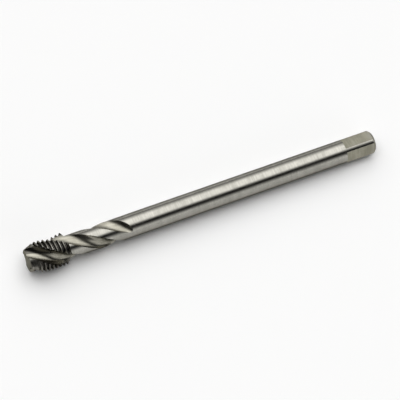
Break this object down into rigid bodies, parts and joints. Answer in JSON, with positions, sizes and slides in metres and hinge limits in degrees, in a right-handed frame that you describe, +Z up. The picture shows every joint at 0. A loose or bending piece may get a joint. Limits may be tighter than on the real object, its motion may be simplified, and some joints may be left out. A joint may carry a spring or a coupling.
{
  "type": "thread tap",
  "caption": "Right-hand machine tap: short threaded head with tapered lead, spiral flutes running out on a slimmer plain shank, and a square drive with a centre hole.",
  "frame": {"origin": "on the surface the tap lies on, under the middle of its length", "axes": "+X from the tip towards the square, along the tap (its axis dips 0.70 degrees towards the square because head and shank both touch the surface), +Z up; rolled 28.7 degrees about its axis from flats level, as it comes to rest on two lands"},
  "size_m": [0.095, 0.008, 0.0081],
  "materials": {
    "ground_steel": "ground bright tool steel, finely lined around the shank, duller milled flats"
  },
  "bodies": {
    "root": {"thread_tap": "ground_steel"}
  },
  "joints": []
}
